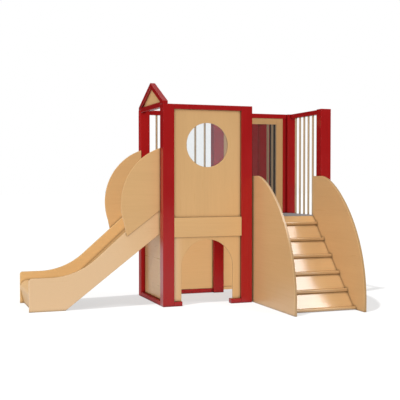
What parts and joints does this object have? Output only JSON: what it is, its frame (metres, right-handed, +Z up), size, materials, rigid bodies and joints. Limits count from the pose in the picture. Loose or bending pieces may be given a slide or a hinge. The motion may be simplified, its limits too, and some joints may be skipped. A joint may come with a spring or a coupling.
{
  "type": "play castle",
  "caption": "Indoor play castle: a framed tower with arched door and round window, a slide on one side and a stair up to a second bay with a mirror.",
  "frame": {"origin": "middle of the footprint's box, on the floor", "axes": "+X to the right along the front, away from the slide; +Y to the rear, away from the stair; +Z up"},
  "size_m": [3.235, 1.88, 2.315],
  "materials": {
    "red_timber": "satin red lacquer",
    "beech_board": "beech plywood, clear satin lacquer",
    "beech_slide": "pale formed beech plywood, clear lacquer",
    "beech_bar": "turned beech, clear lacquer",
    "beech_step": "beech, glossy clear lacquer",
    "floor_covering": "grey sheet floor covering",
    "mirror_sheet": "polished",
    "window_pane": "clear acrylic"
  },
  "bodies": {
    "root": {"band_front": "beech_board", "bar_rear_1": "beech_bar", "bar_rear_2": "beech_bar", "bar_rear_3": "beech_bar", "bar_rear_4": "beech_bar", "bar_rear_5": "beech_bar", "bar_rear_6": "beech_bar", "bar_right_1": "beech_bar", "bar_right_2": "beech_bar", "bar_right_3": "beech_bar", "bar_right_4": "beech_bar", "bar_right_5": "beech_bar", "bar_right_6": "beech_bar", "batten_rear_bay": "beech_board", "deck_bay": "beech_board", "deck_tower": "beech_board", "floor_covering": "floor_covering", "gable_frame": "red_timber", "gable_infill": "beech_board", "mirror_frame": "beech_board", "mirror_sheet": "mirror_sheet", "mirror_stile": "red_timber", "panel_arch": "beech_board", "panel_left": "beech_board", "panel_rear_bay": "beech_board", "panel_rear_tower": "beech_board", "panel_right_bay": "beech_board", "panel_window": "beech_board", "platform_frame": "beech_board", "post_front_left": "red_timber", "post_front_middle": "red_timber", "post_front_right": "red_timber", "post_rear_left": "red_timber", "post_rear_middle": "red_timber", "post_rear_right": "red_timber", "rail_front": "red_timber", "rail_middle": "red_timber", "rail_rear_bay": "red_timber", "rail_rear_tower": "red_timber", "rail_right": "red_timber", "riser_top": "beech_step", "sill_front_left": "red_timber", "sill_front_right": "red_timber", "sill_left": "red_timber", "sill_rear": "red_timber", "slide_bed": "beech_slide", "slide_guard_far": "beech_board", "slide_guard_near": "beech_board", "slide_head": "beech_board", "slide_wall_far": "beech_slide", "slide_wall_near": "beech_slide", "stair_cheek_left": "beech_board", "stair_cheek_right": "beech_board", "step_1": "beech_step", "step_2": "beech_step", "step_3": "beech_step", "step_4": "beech_step", "step_5": "beech_step", "step_6": "beech_step", "window_pane": "window_pane"}
  },
  "joints": []
}
